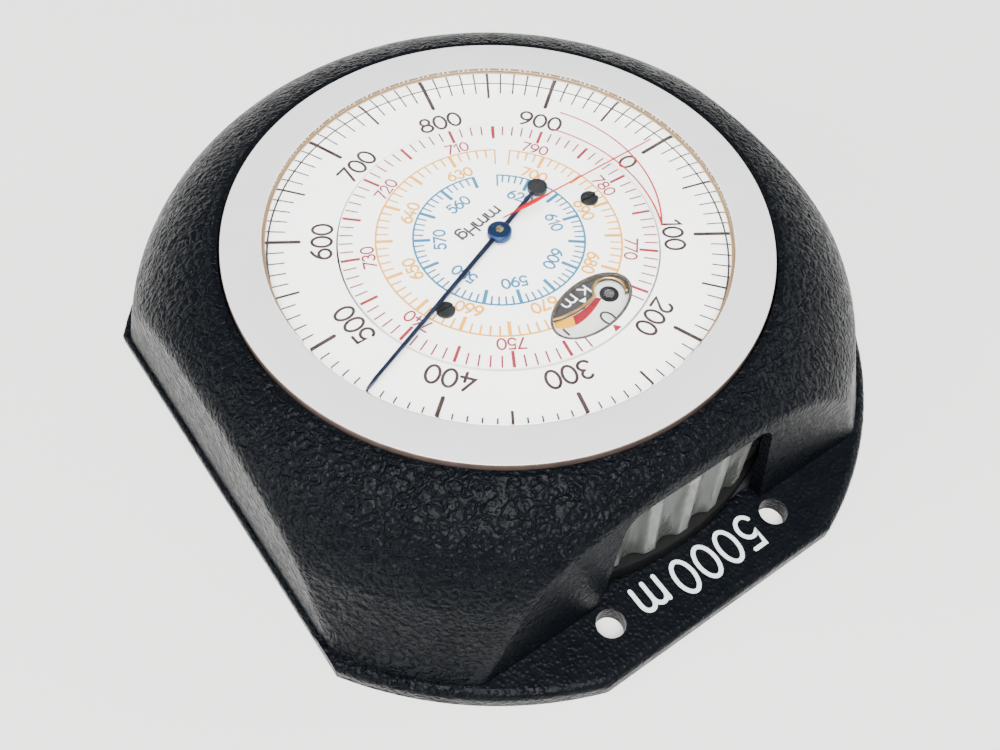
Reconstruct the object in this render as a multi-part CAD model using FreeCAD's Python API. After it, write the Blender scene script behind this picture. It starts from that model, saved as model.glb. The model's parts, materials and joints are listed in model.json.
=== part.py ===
import FreeCAD, Part
import math
import os

# Aneroid pocket altimeter with a turning altitude ring.  Millimetres, +Z up, the origin on the dial
# axis where the flat base rests, +Y towards the lanyard lug.

# --- driving dimensions -------------------------------------------------------------------------
BASE_R = 42.3             # round part of the base outline
FLAT_X = 35.0             # half the width across the two side flats
LUG_Y = 39.7              # outer edge of the lanyard lug
LUG_T = 2.2               # thickness of the lug plate
FOOT_T = 1.6              # low rim round the foot of the housing
FOOT_STEP = 0.45          # how far that rim stands out from the walls
TOP_Z = 20.0              # crown of the housing beside the bezel
WALL_Y = 33.0             # foot of the flat wall above the lug
WALL_DRAFT = 3.0          # lean of that wall, degrees
FLAT_DRAFT = 2.5          # lean of the side flats, degrees
HOLE_X = 10.8             # lanyard holes, half their spacing
HOLE_Y = 35.0
HOLE_R = 1.5

KNURL_R = 32.0            # setting ring over its ribs
KNURL_Z0 = 4.0
KNURL_Z1 = 15.9
FLUTES = 48
ROOF_Z = 16.4             # underside of the housing roof
NECK_R = 27.2             # setting ring's neck, turning in the roof
NECK_FIT = 0.08           # its running clearance
SLOT_HALF = 10.7          # finger slot in the wall, half its width at the lug
SLOT_TOP_HALF = 8.7       # and at its top
SLOT_TOP = 17.0
SLOT_CORNER = 2.4

BEZEL_R = 27.9
BEZEL_Z = 20.4
CRYSTAL_R = 23.8
CRYSTAL_Z0 = 19.8
CRYSTAL_Z1 = 20.5
DIAL_R = 16.4             # fixed pressure dial
DIAL_Z0 = 17.8
DIAL_Z1 = 18.35
RING_DIAL_Z0 = 17.7       # turning altitude dial round it
RING_DIAL_Z1 = 18.2
WINDOW_AT = 101.4         # direction of the kilometre window, degrees
WINDOW_R = 12.5
SCREW_R = 11.0            # dial screws, radius of their circle
SCREW_AT = (26.5, 175.2)

COVER_T = 1.6
PLATE_Z1 = 3.2            # movement base plate, on the cover
TRAIN_Z0 = 10.4           # train plate
TRAIN_Z1 = 11.2
BRIDGE_Z0 = 14.4          # upper bridge
BRIDGE_Z1 = 15.4
PILLAR_R = 22.0
PILLARS_AT = (20.0, 140.0, 260.0)

# gear train: pointer pinion, intermediate wheel and pinion, sector, kilometre pinion and wheel
TRAIN_MODULE = 0.25
CENTRE_TEETH = 12
WHEEL_TEETH = 60
SECTOR_MODULE = 0.2
LEAF_TEETH = 12
SECTOR_TEETH = 180
INTER_AT = 200.0          # direction of the intermediate arbor from the centre
SECTOR_AT = 70.0          # direction of the sector arbor from the intermediate one
KM_X = -5.4
KM_Y = 11.5
KM_TEETH = 96
KM_DRIVE_TEETH = 16
KM_DISC_R = 8.0
MASK_ARC_X = -0.9         # bowed edge of the mask across the window
MASK_ARC_Y = 3.45
MASK_ARC_R = 8.3
MASK_HORN_Y = 12.6        # how far the mask reaches round the disc's stud
NOTCH_R = 1.55
PIVOT_FIT = 0.05          # radial clearance of every pivot in its hole

POINTER_AT = 22.8         # direction the pointer rests in
POINTER_TIP = 22.9
POINTER_TAIL = 8.3        # the pointer's tail ends under the counterweight
POINTER_HALF = 0.26       # half the pointer's width beside the hub
POINTER_TIP_HALF = 0.17   # half its width just before the point
POINTER_POINT = 1.2       # length of the tapered point
TAIL_R = 7.5              # counterweight's distance from the axis

CAPSULE_X = 10.2
CAPSULE_Y = -9.0
CAPSULE_R = 10.5
ROCKER_X = 2.2            # rocking shaft, along Y
ROCKER_Z = 8.6
TAIL_CRANK = 2.1          # sector's short crank

V = FreeCAD.Vector
UP = V(0, 0, 1)


# --- shape helpers ------------------------------------------------------------------------------
def polar(radius, degrees):
    return radius * math.cos(math.radians(degrees)), radius * math.sin(math.radians(degrees))


def disc(x, y, z0, z1, radius):
    return Part.makeCylinder(radius, z1 - z0, V(x, y, z0))


def tube(x, y, z0, z1, inner, outer):
    return disc(x, y, z0, z1, outer).cut(disc(x, y, z0 - 1, z1 + 1, inner))


def block(x0, x1, y0, y1, z0, z1):
    return Part.makeBox(x1 - x0, y1 - y0, z1 - z0, V(x0, y0, z0))


def prism(points, z0, z1):
    corners = [V(x, y, z0) for x, y in points]
    wire = Part.makePolygon(corners + corners[:1])
    return Part.Face(wire).extrude(V(0, 0, z1 - z0))


def lathe(points):
    corners = [V(r, 0, z) for r, z in points]
    wire = Part.makePolygon(corners + corners[:1])
    return Part.Face(wire).revolve(V(0, 0, 0), UP, 360)


def join(pieces):
    whole = pieces[0]
    for piece in pieces[1:]:
        whole = whole.fuse(piece)
    return whole.removeSplitter()


def turned(shape, degrees, x=0.0, y=0.0):
    copy = shape.copy()
    copy.rotate(V(x, y, 0), UP, degrees)
    return copy


def rod_y(x, z, y0, y1, radius):
    return Part.makeCylinder(radius, y1 - y0, V(x, y0, z), V(0, 1, 0))


def arm(x0, y0, x1, y1, z0, z1, half):
    length = math.hypot(x1 - x0, y1 - y0)
    bar = block(0, length, -half, half, z0, z1)
    bar.rotate(V(0, 0, 0), UP, math.degrees(math.atan2(y1 - y0, x1 - x0)))
    bar.translate(V(x0, y0, 0))
    return join([bar, disc(x0, y0, z0, z1, half), disc(x1, y1, z0, z1, half)])


# --- gears --------------------------------------------------------------------------------------
PRESSURE = math.radians(20)
ADDENDUM = 0.7
DEDENDUM = 1.0
BACKLASH = 0.14


def involute(angle):
    return math.tan(angle) - angle


def tooth_half_angle(radius, teeth, module):
    pitch = module * teeth / 2
    base = pitch * math.cos(PRESSURE)
    at = math.acos(min(1.0, base / radius))
    return math.pi / (2 * teeth) * (1 - BACKLASH) + involute(PRESSURE) - involute(at)


def tooth_points(teeth, module, centre):
    pitch = module * teeth / 2
    root = pitch - DEDENDUM * module
    tip = pitch + ADDENDUM * module
    start = max(root, pitch * math.cos(PRESSURE))
    flank = [start + (tip - start) * step / 3 for step in range(4)]
    left = [(r, centre - tooth_half_angle(r, teeth, module)) for r in flank]
    right = [(r, centre + tooth_half_angle(r, teeth, module)) for r in reversed(flank)]
    if root < start - 0.001:
        left.insert(0, (root, left[0][1]))
        right.append((root, right[-1][1]))
    return [(r * math.cos(a), r * math.sin(a)) for r, a in left + right]


def gear(x, y, z0, z1, teeth, module, phase, bore):
    points = []
    for tooth in range(teeth):
        points += tooth_points(teeth, module, math.radians(phase) + 2 * math.pi * tooth / teeth)
    blank = prism([(x + px, y + py) for px, py in points], z0, z1)
    return blank.cut(disc(x, y, z0 - 1, z1 + 1, bore))


INTER_D = TRAIN_MODULE * (CENTRE_TEETH + WHEEL_TEETH) / 2
INTER_X, INTER_Y = polar(INTER_D, INTER_AT)
SECTOR_D = SECTOR_MODULE * (LEAF_TEETH + SECTOR_TEETH) / 2
SECTOR_X = INTER_X + polar(SECTOR_D, SECTOR_AT)[0]
SECTOR_Y = INTER_Y + polar(SECTOR_D, SECTOR_AT)[1]
KM_AT = math.degrees(math.atan2(KM_Y, KM_X))
KM_MODULE = 2 * math.hypot(KM_X, KM_Y) / (KM_TEETH + KM_DRIVE_TEETH)


# --- housing ------------------------------------------------------------------------------------
def flats(inset, z0, z1):
    """Space between the two leaning side flats, inset from them."""
    lean = math.tan(math.radians(FLAT_DRAFT))
    x0 = FLAT_X - inset - lean * z0
    x1 = FLAT_X - inset - lean * z1
    face = [V(-x0, -60, z0), V(x0, -60, z0), V(x1, -60, z1), V(-x1, -60, z1)]
    return Part.Face(Part.makePolygon(face + face[:1])).extrude(V(0, 120, 0))


def behind_wall(inset):
    """Space on the dial's side of the leaning wall, inset from it."""
    lean = math.tan(math.radians(WALL_DRAFT))
    y0 = WALL_Y - inset + lean * LUG_T
    y1 = WALL_Y - inset - lean * (30 - LUG_T)
    face = [V(-60, -60, 0), V(-60, y0, 0), V(-60, y1, 30), V(-60, -60, 30)]
    return Part.Face(Part.makePolygon(face + face[:1])).extrude(V(120, 0, 0))


def dome():
    """Round body: a drafted side, a broad shoulder and a nearly level crown."""
    foot = V(BASE_R - FOOT_STEP, 0, 0)
    side_top = V(38.2, 0, 12.0)
    crown = V(28.0, 0, TOP_Z)
    edges = [
        Part.LineSegment(foot, side_top).toShape(),
        Part.Arc(side_top, V(34.9, 0, 16.6), V(28.8, 0, TOP_Z)).toShape(),
        Part.LineSegment(V(28.8, 0, TOP_Z), crown).toShape(),
        Part.LineSegment(crown, V(28.0, 0, 0)).toShape(),
        Part.LineSegment(V(28.0, 0, 0), foot).toShape(),
    ]
    ring = Part.Face(Part.Wire(edges)).revolve(V(0, 0, 0), UP, 360)
    return ring.fuse(disc(0, 0, 0, TOP_Z, 28.5)).removeSplitter()


def soften(shape, radius, wanted):
    edges = [edge for edge in shape.Edges if wanted(edge)]
    return shape.makeFillet(radius, edges)


def on_flat(edge):
    box = edge.BoundBox
    return abs(box.XMin) > 33.5 and abs(box.XMax) > 33.5 and box.ZMax > 10


def on_wall(edge):
    box = edge.BoundBox
    return box.YMin > 31.0 and box.ZMax > 15 and box.XLength > 30


def rim_edge(edge):
    box = edge.BoundBox
    return box.ZLength < 0.01 and abs(box.ZMin - LUG_T) < 0.01


def upright(edge):
    box = edge.BoundBox
    return box.ZLength > 1.5 and box.XLength < 0.01 and box.YLength < 0.01


def lug_plate():
    plate = disc(0, 0, 0, LUG_T, BASE_R)
    plate = plate.common(block(-FLAT_X, FLAT_X, 20, LUG_Y, 0, LUG_T))
    plate = soften(plate, 1.5, lambda e: upright(e) and e.BoundBox.YMin > 30)
    return soften(plate, 0.9, lambda e: rim_edge(e) and e.BoundBox.YMax > 25)


def foot_rim():
    """Low rim round the foot, standing out from the walls above it."""
    plate = disc(0, 0, 0, FOOT_T, BASE_R)
    plate = plate.common(block(-FLAT_X, FLAT_X, -60, 30, 0, FOOT_T))
    top = FOOT_T - 0.01
    return soften(plate, 0.4, lambda e: e.BoundBox.ZMin > top and e.BoundBox.YMin < 29)


def finger_slot():
    """Opening in the wall over the lug, its sides leaning together towards the top."""
    bottom = V(-SLOT_HALF, 29.5, LUG_T)
    corners = [bottom, V(SLOT_HALF, 29.5, LUG_T), V(SLOT_TOP_HALF, 29.5, SLOT_TOP),
               V(-SLOT_TOP_HALF, 29.5, SLOT_TOP), bottom]
    bar = Part.Face(Part.makePolygon(corners)).extrude(V(0, 15.5, 0))
    top = SLOT_TOP - 0.01
    return soften(bar, SLOT_CORNER, lambda e: e.BoundBox.ZMin > top and e.BoundBox.YLength > 10)


def cover_outline(inset, z0, z1):
    blank = disc(0, 0, z0, z1, 40.4 - inset)
    return blank.common(block(-33.4 + inset, 33.4 - inset, -60, 31.3 - inset, z0, z1))


BOSSES = [(sx * 24.5, sy * 26.5) for sx in (-1, 1) for sy in (-1, 1)]


def housing():
    body = dome().common(flats(FOOT_STEP, 0, 30))
    body = soften(body, 2.6, on_flat)
    body = body.common(behind_wall(0))
    body = soften(body, 1.3, on_wall)
    body = body.fuse([foot_rim(), lug_plate()]).removeSplitter()
    cavity = lathe([(0, -1), (39.8, -1), (36.3, 11.4), (33.4, ROOF_Z), (0, ROOF_Z)])
    cavity = cavity.common(block(-32.8, 32.8, -60, 31.3, -1, ROOF_Z))
    for x, y in BOSSES:
        cavity = cavity.cut(disc(x, y, COVER_T, ROOF_Z + 1, 2.3))
    cavity = cavity.fuse(disc(0, 0, COVER_T, ROOF_Z, KNURL_R + 0.6))
    cavity = cavity.fuse(cover_outline(0, -1, COVER_T))
    body = body.cut(cavity)
    body = body.cut(disc(0, 0, 10, 25, NECK_R + NECK_FIT))
    body = body.cut(disc(0, 0, 18.9, 25, BEZEL_R + 0.25))
    body = body.cut(finger_slot())
    for side in (-1, 1):
        body = body.cut(disc(side * HOLE_X, HOLE_Y, -1, 5, HOLE_R))
    for x, y in BOSSES:
        body = body.cut(disc(x, y, 0, 8, 0.9))
    return body


def rear_cover():
    cover = cover_outline(0.1, 0, COVER_T)
    for x, y in BOSSES:
        cover = cover.cut(disc(x, y, -1, 5, 1.1))
        cover = cover.cut(disc(x, y, -1, 0.9, 2.05))
    for at in PILLARS_AT:
        x, y = polar(PILLAR_R, at)
        cover = cover.cut(disc(x, y, -1, 5, 0.8))
        cover = cover.cut(disc(x, y, -1, 0.7, 1.55))
    return cover


def slotted_screw(x, y, head_r, head_z0, head_z1, shank_r, shank_z1, slot_side):
    """Screw along Z; slot_side is -1 for a slot in the lower end of the head, 1 in the upper."""
    head = disc(x, y, head_z0, head_z1, head_r)
    face = head_z0 if slot_side < 0 else head_z1
    cut = block(x - head_r, x + head_r, y - 0.15 * head_r, y + 0.15 * head_r, face - 0.2, face + 0.2)
    low, high = sorted((shank_z1, head_z1 if slot_side < 0 else head_z0))
    return head.cut(cut).fuse(disc(x, y, low, high, shank_r))


def cover_screws():
    return [slotted_screw(x, y, 1.95, 0.1, 0.9, 0.9, 7.0, -1) for x, y in BOSSES]


def movement_screws():
    places = [polar(PILLAR_R, at) for at in PILLARS_AT]
    return [slotted_screw(x, y, 1.45, 0.1, 0.7, 0.7, 5.8, -1) for x, y in places]


def glide_ring():
    return tube(0, 0, COVER_T, KNURL_Z0 - 0.15, 29.2, KNURL_R + 0.3)


def friction_washer():
    return tube(0, 0, KNURL_Z1 + 0.2, ROOF_Z, 28.4, 31.6)


# --- setting ring and what turns with it --------------------------------------------------------
def setting_ring():
    body = lathe([
        (29.4, KNURL_Z0), (KNURL_R, KNURL_Z0), (KNURL_R, KNURL_Z1), (NECK_R, KNURL_Z1),
        (NECK_R, 19.1), (26.0, 19.1), (26.0, RING_DIAL_Z0), (21.5, RING_DIAL_Z0),
        (21.5, 16.9), (26.0, 16.9), (26.0, 13.5), (29.4, 13.5),
    ])
    flute = disc(KNURL_R + 1.2, 0, KNURL_Z0 - 1, KNURL_Z1 + 1, 1.9)
    cutters = [turned(flute, 360.0 * count / FLUTES) for count in range(FLUTES)]
    return body.cut(Part.makeCompound(cutters))


def altitude_dial():
    return tube(0, 0, RING_DIAL_Z0, RING_DIAL_Z1, DIAL_R + 0.2, 25.9)


def bezel():
    return lathe([
        (CRYSTAL_R, RING_DIAL_Z1), (25.9, RING_DIAL_Z1), (25.9, 19.15), (BEZEL_R, 19.15),
        (BEZEL_R, BEZEL_Z - 0.25), (BEZEL_R - 0.25, BEZEL_Z), (CRYSTAL_R + 0.12, BEZEL_Z),
        (CRYSTAL_R, BEZEL_Z - 0.12),
    ])


def tension_ring():
    return tube(0, 0, RING_DIAL_Z1, CRYSTAL_Z0 - 0.2, CRYSTAL_R - 0.3, CRYSTAL_R)


def crystal_gasket():
    return tube(0, 0, CRYSTAL_Z0 - 0.2, CRYSTAL_Z0, CRYSTAL_R - 0.3, CRYSTAL_R)


def crystal():
    return lathe([
        (0, CRYSTAL_Z0), (CRYSTAL_R, CRYSTAL_Z0), (CRYSTAL_R, CRYSTAL_Z1 - 0.2),
        (CRYSTAL_R - 0.2, CRYSTAL_Z1), (0, CRYSTAL_Z1),
    ])


# --- fixed dial ---------------------------------------------------------------------------------
def kilometre_window(z0, z1, grow):
    """Long oval hole, its length square to the radius it stands on."""
    half_long = 4.9 + grow
    half_short = 2.72 + grow
    oval = Part.Ellipse(V(0, 0, z0), half_long, half_short)
    hole = Part.Face(Part.Wire(oval.toShape())).extrude(V(0, 0, z1 - z0))
    hole.rotate(V(0, 0, 0), UP, WINDOW_AT - 90)
    x, y = polar(WINDOW_R, WINDOW_AT)
    hole.translate(V(x, y, 0))
    return hole


def pressure_dial():
    dial = disc(0, 0, DIAL_Z0, DIAL_Z1, DIAL_R)
    dial = dial.cut(disc(0, 0, 10, 25, 0.8))
    dial = dial.cut(kilometre_window(10, 25, 0))
    for at in SCREW_AT:
        x, y = polar(SCREW_R, at)
        dial = dial.cut(disc(x, y, 10, 25, 0.5))
    return dial


def kilometre_mask():
    """Dark plate under the window's inner half, bowed, and notched round the kilometre disc's stud."""
    plate = kilometre_window(DIAL_Z0 - 0.25, DIAL_Z0, 0.6)
    bow = disc(MASK_ARC_X, MASK_ARC_Y, 10, 25, MASK_ARC_R)
    horn = block(-20, KM_X, 0, MASK_HORN_Y, 10, 25)
    plate = plate.common(bow.fuse(horn))
    return plate.cut(disc(KM_X, KM_Y, 10, 25, NOTCH_R))


def dial_posts():
    posts = []
    for at in SCREW_AT:
        x, y = polar(SCREW_R, at)
        posts.append(tube(x, y, BRIDGE_Z1, DIAL_Z0, 0.45, 0.9))
    return posts


def dial_screws():
    places = [polar(SCREW_R, at) for at in SCREW_AT]
    return [slotted_screw(x, y, 0.95, DIAL_Z1, DIAL_Z1 + 0.3, 0.45, BRIDGE_Z1 + 0.2, 1) for x, y in places]


# --- movement frame -----------------------------------------------------------------------------
def base_plate():
    plate = disc(0, 0, COVER_T, PLATE_Z1, 28.0)
    for at in PILLARS_AT:
        x, y = polar(PILLAR_R, at)
        plate = plate.cut(disc(x, y, 0, 5, 0.7))
    for x, y in ((INTER_X, INTER_Y), (SECTOR_X, SECTOR_Y)):
        plate = plate.cut(disc(x, y, 0, 5, 1.1))
    return plate


def lower_pillars():
    pillars = []
    for at in PILLARS_AT:
        x, y = polar(PILLAR_R, at)
        post = disc(x, y, PLATE_Z1, TRAIN_Z0, 1.7)
        post = post.cut(disc(x, y, 0, 5.8, 0.7))
        pillars.append(post.cut(disc(x, y, TRAIN_Z0 - 1.6, 20, 0.7)))
    return pillars


def upper_pillars():
    pillars = []
    for at in PILLARS_AT:
        x, y = polar(PILLAR_R, at)
        post = disc(x, y, TRAIN_Z1, BRIDGE_Z0, 1.5)
        post = post.fuse(disc(x, y, TRAIN_Z0 - 1.6, TRAIN_Z1, 0.7))
        pillars.append(post.cut(disc(x, y, BRIDGE_Z0 - 1.8, 20, 0.6)))
    return pillars


def train_plate():
    plate = disc(0, 0, TRAIN_Z0, TRAIN_Z1, 25.0)
    plate = plate.cut(disc(INTER_X, INTER_Y, 0, 20, 1.5))
    plate = plate.cut(disc(CAPSULE_X, CAPSULE_Y, 0, 20, 4.0))
    for x, y in ((0, 0), (SECTOR_X, SECTOR_Y)):
        plate = plate.cut(disc(x, y, 0, 20, 1.1))
    for at in PILLARS_AT:
        x, y = polar(PILLAR_R, at)
        plate = plate.cut(disc(x, y, 0, 20, 0.7))
    return plate


def upper_bridge():
    """Three-armed bridge over the gear train."""
    pieces = [disc(0, 0, BRIDGE_Z0, BRIDGE_Z1, 13.0)]
    for at in PILLARS_AT:
        x, y = polar(PILLAR_R, at)
        pieces.append(arm(0, 0, x, y, BRIDGE_Z0, BRIDGE_Z1, 3.0))
    pieces.append(arm(0, 0, KM_X, KM_Y, BRIDGE_Z0, BRIDGE_Z1, 3.0))
    bridge = join(pieces)
    for x, y in ((0, 0), (INTER_X, INTER_Y)):
        bridge = bridge.cut(disc(x, y, 0, 20, 1.1))
    bridge = bridge.cut(disc(KM_X, KM_Y, 0, 20, 0.5))
    for at in PILLARS_AT:
        x, y = polar(PILLAR_R, at)
        bridge = bridge.cut(disc(x, y, 0, 20, 0.6))
    return bridge


def bridge_screws():
    places = [polar(PILLAR_R, at) for at in PILLARS_AT]
    return [slotted_screw(x, y, 1.4, BRIDGE_Z1, BRIDGE_Z1 + 0.6, 0.6, BRIDGE_Z0 - 1.8, 1) for x, y in places]


def jewel(x, y, z0, z1, pivot_r):
    return tube(x, y, z0, z1, pivot_r + PIVOT_FIT, 1.1)


def jewel_bearings():
    return [
        jewel(0, 0, TRAIN_Z0, TRAIN_Z1, 0.4),
        jewel(0, 0, BRIDGE_Z0, BRIDGE_Z1, 0.4),
        jewel(INTER_X, INTER_Y, COVER_T, PLATE_Z1, 0.4),
        jewel(INTER_X, INTER_Y, BRIDGE_Z0, BRIDGE_Z1, 0.4),
        jewel(SECTOR_X, SECTOR_Y, COVER_T, PLATE_Z1, 0.5),
        jewel(SECTOR_X, SECTOR_Y, TRAIN_Z0, TRAIN_Z1, 0.5),
    ]


def kilometre_stud():
    return disc(KM_X, KM_Y, BRIDGE_Z0, 17.4, 0.5)


# --- pointer and its arbor ----------------------------------------------------------------------
def pointer():
    shoulder = POINTER_TIP - POINTER_POINT
    needle = prism([
        (-POINTER_TAIL, -0.2), (-POINTER_TAIL, 0.2), (0, POINTER_HALF), (shoulder, POINTER_TIP_HALF),
        (POINTER_TIP, 0.05), (POINTER_TIP, -0.05), (shoulder, -POINTER_TIP_HALF), (0, -POINTER_HALF),
    ], 19.05, 19.25)
    needle = join([needle, disc(0, 0, 19.05, 19.25, 0.9)]).cut(disc(0, 0, 18, 21, 0.4))
    return turned(needle, POINTER_AT)


def pointer_counterweight():
    x, y = polar(-TAIL_R, POINTER_AT)
    weight = disc(x, y, 18.9, 19.4, 1.05)
    return weight.cut(pointer())


def pointer_hub():
    hub = lathe([
        (0.4, 18.6), (0.8, 18.6), (0.8, 18.85), (1.26, 18.85), (1.26, 19.4), (1.1, 19.55), (0.4, 19.55),
    ])
    return hub.cut(pointer())


def centre_arbor():
    spindle = disc(0, 0, TRAIN_Z0 + 0.1, 19.65, 0.4)
    return spindle


def centre_pinion():
    return gear(0, 0, 11.5, 12.8, CENTRE_TEETH, TRAIN_MODULE, INTER_AT, 0.4)


def hairspring_collet():
    return tube(0, 0, 13.2, 13.9, 0.4, 1.2)


def kilometre_pinion():
    return gear(0, 0, 16.2, 16.8, KM_DRIVE_TEETH, KM_MODULE, KM_AT, 0.4)


def hairspring():
    """Flat spiral ribbon, from beside the collet to the stud."""
    turns = 3.5
    steps = 126
    inner = []
    outer = []
    for step in range(steps + 1):
        share = step / steps
        radius = 1.7 + 3.6 * share
        at = 2 * math.pi * turns * share
        inner.append(((radius - 0.08) * math.cos(at), (radius - 0.08) * math.sin(at)))
        outer.append(((radius + 0.08) * math.cos(at), (radius + 0.08) * math.sin(at)))
    return prism(inner + outer[::-1], 13.35, 13.75)


def hairspring_stud():
    x, y = polar(5.3, 180.0)
    stud = disc(x - 0.5, y, 13.2, BRIDGE_Z0, 0.5)
    return stud.cut(hairspring())


# --- intermediate wheel -------------------------------------------------------------------------
def intermediate_arbor():
    return disc(INTER_X, INTER_Y, COVER_T + 0.3, BRIDGE_Z1 - 0.1, 0.4)


def intermediate_wheel():
    phase = INTER_AT + 180 + 180.0 / WHEEL_TEETH
    wheel = gear(INTER_X, INTER_Y, 11.9, 12.3, WHEEL_TEETH, TRAIN_MODULE, phase, 0.4)
    for count in range(5):
        x, y = polar(4.3, 72 * count)
        wheel = wheel.cut(disc(INTER_X + x, INTER_Y + y, 10, 14, 1.6))
    return wheel


def intermediate_pinion():
    return gear(INTER_X, INTER_Y, 8.9, 10.1, LEAF_TEETH, SECTOR_MODULE, SECTOR_AT, 0.4)


# --- sector -------------------------------------------------------------------------------------
def sector_gear():
    pitch_angle = 360.0 / SECTOR_TEETH
    facing = SECTOR_AT + 180
    points = []
    for tooth in range(-2, 13):
        centre = math.radians(facing + pitch_angle * (tooth + 0.5))
        points += tooth_points(SECTOR_TEETH, SECTOR_MODULE, centre)
    first = facing - 1.5 * pitch_angle - 0.6
    last = facing + 12.5 * pitch_angle + 0.6
    inner_r = 16.2
    arc = [polar(inner_r, last + (first - last) * step / 12) for step in range(13)]
    rim = prism([(SECTOR_X + x, SECTOR_Y + y) for x, y in points + arc], 9.3, 9.7)
    hub = disc(SECTOR_X, SECTOR_Y, 9.0, 10.0, 1.6)
    spokes = []
    for at in (first + 3, last - 3):
        x, y = polar(17.0, at)
        spokes.append(arm(SECTOR_X, SECTOR_Y, SECTOR_X + x, SECTOR_Y + y, 9.3, 9.7, 0.5))
    return join([rim, hub] + spokes).cut(disc(SECTOR_X, SECTOR_Y, 0, 20, 0.5))


def sector_arbor():
    return disc(SECTOR_X, SECTOR_Y, COVER_T + 0.3, TRAIN_Z1 - 0.1, 0.5)


def sector_crank():
    """Short crank with an upright pin that rests on the drive lever's finger."""
    pin_y = SECTOR_Y + TAIL_CRANK
    crank = arm(SECTOR_X, SECTOR_Y, SECTOR_X, pin_y, 3.6, 4.0, 0.9)
    crank = crank.fuse(disc(SECTOR_X, pin_y, 4.0, 6.6, 0.35))
    return crank.cut(disc(SECTOR_X, SECTOR_Y, 0, 20, 0.5))


# --- rocking shaft ------------------------------------------------------------------------------
def rocker_brackets():
    brackets = []
    for y in (-18.5, 19.5):
        post = block(ROCKER_X - 1.6, ROCKER_X + 1.6, y - 1, y + 1, PLATE_Z1, ROCKER_Z + 1.4)
        brackets.append(post.cut(rod_y(ROCKER_X, ROCKER_Z, y - 2, y + 2, 0.8 + PIVOT_FIT)))
    return brackets


def rocking_shaft():
    return rod_y(ROCKER_X, ROCKER_Z, -19.3, 20.3, 0.8)


def capsule_lever():
    bar = block(ROCKER_X, CAPSULE_X + 0.6, CAPSULE_Y - 0.8, CAPSULE_Y + 0.8, ROCKER_Z - 0.5, ROCKER_Z)
    hub = rod_y(ROCKER_X, ROCKER_Z, CAPSULE_Y - 1, CAPSULE_Y + 1, 1.2)
    return join([bar, hub]).cut(rod_y(ROCKER_X, ROCKER_Z, -30, 30, 0.8))


def drive_lever():
    """Two-metal strip hanging from the shaft, with a finger beside the sector's pin."""
    y = SECTOR_Y + TAIL_CRANK
    low = ROCKER_Z - 3.8
    hub = rod_y(ROCKER_X, ROCKER_Z, y - 0.8, y + 0.8, 1.2)
    strip = block(ROCKER_X - 0.3, ROCKER_X + 0.3, y - 0.6, y + 0.6, low, ROCKER_Z)
    finger = block(SECTOR_X + 0.65, ROCKER_X, y - 0.6, y + 0.6, low, low + 0.6)
    return join([hub, strip, finger]).cut(rod_y(ROCKER_X, ROCKER_Z, -30, 30, 0.8))


# --- capsules -----------------------------------------------------------------------------------
def capsule(z0):
    """Sealed box of two corrugated discs, with a boss at each centre."""
    wave = 0.22
    lower = [(0, 0), (2.0, 0)]
    for count in range(4):
        lower.append((3.0 + 1.8 * count, 0.12 + wave))
        lower.append((3.9 + 1.8 * count, 0.12))
    lower.append((CAPSULE_R, 0.5))
    upper = [(r, 1.4 - z) for r, z in reversed(lower)]
    profile = [(r, z0 + z) for r, z in lower + upper]
    box = lathe(profile)
    box.translate(V(CAPSULE_X, CAPSULE_Y, 0))
    return box


def lower_capsule():
    return capsule(PLATE_Z1 + 0.4)


def upper_capsule():
    return capsule(PLATE_Z1 + 2.1)


def capsule_posts():
    low = disc(CAPSULE_X, CAPSULE_Y, PLATE_Z1, PLATE_Z1 + 0.4, 2.4)
    between = disc(CAPSULE_X, CAPSULE_Y, PLATE_Z1 + 1.8, PLATE_Z1 + 2.1, 1.6)
    return [low, between]


def capsule_link():
    top = PLATE_Z1 + 3.5
    pin = disc(CAPSULE_X, CAPSULE_Y, top + 0.25, ROCKER_Z - 1.2, 0.5)
    foot = disc(CAPSULE_X, CAPSULE_Y, top + 0.25, top + 0.5, 1.5)
    return pin.fuse(foot).fuse(Part.makeSphere(0.5, V(CAPSULE_X, CAPSULE_Y, ROCKER_Z - 1.2)))


# --- kilometre disc -----------------------------------------------------------------------------
def kilometre_pipe():
    return tube(KM_X, KM_Y, BRIDGE_Z1 + 0.1, 17.3, 0.5 + PIVOT_FIT, 1.0)


def kilometre_wheel():
    phase = KM_AT + 180 + 180.0 / KM_TEETH
    wheel = gear(KM_X, KM_Y, 16.3, 16.7, KM_TEETH, KM_MODULE, phase, 1.0)
    for count in range(6):
        x, y = polar(6.2, 60 * count)
        wheel = wheel.cut(disc(KM_X + x, KM_Y + y, 10, 20, 2.3))
    return wheel


def kilometre_disc():
    return tube(KM_X, KM_Y, 17.0, 17.25, 1.0, KM_DISC_R)


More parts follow.
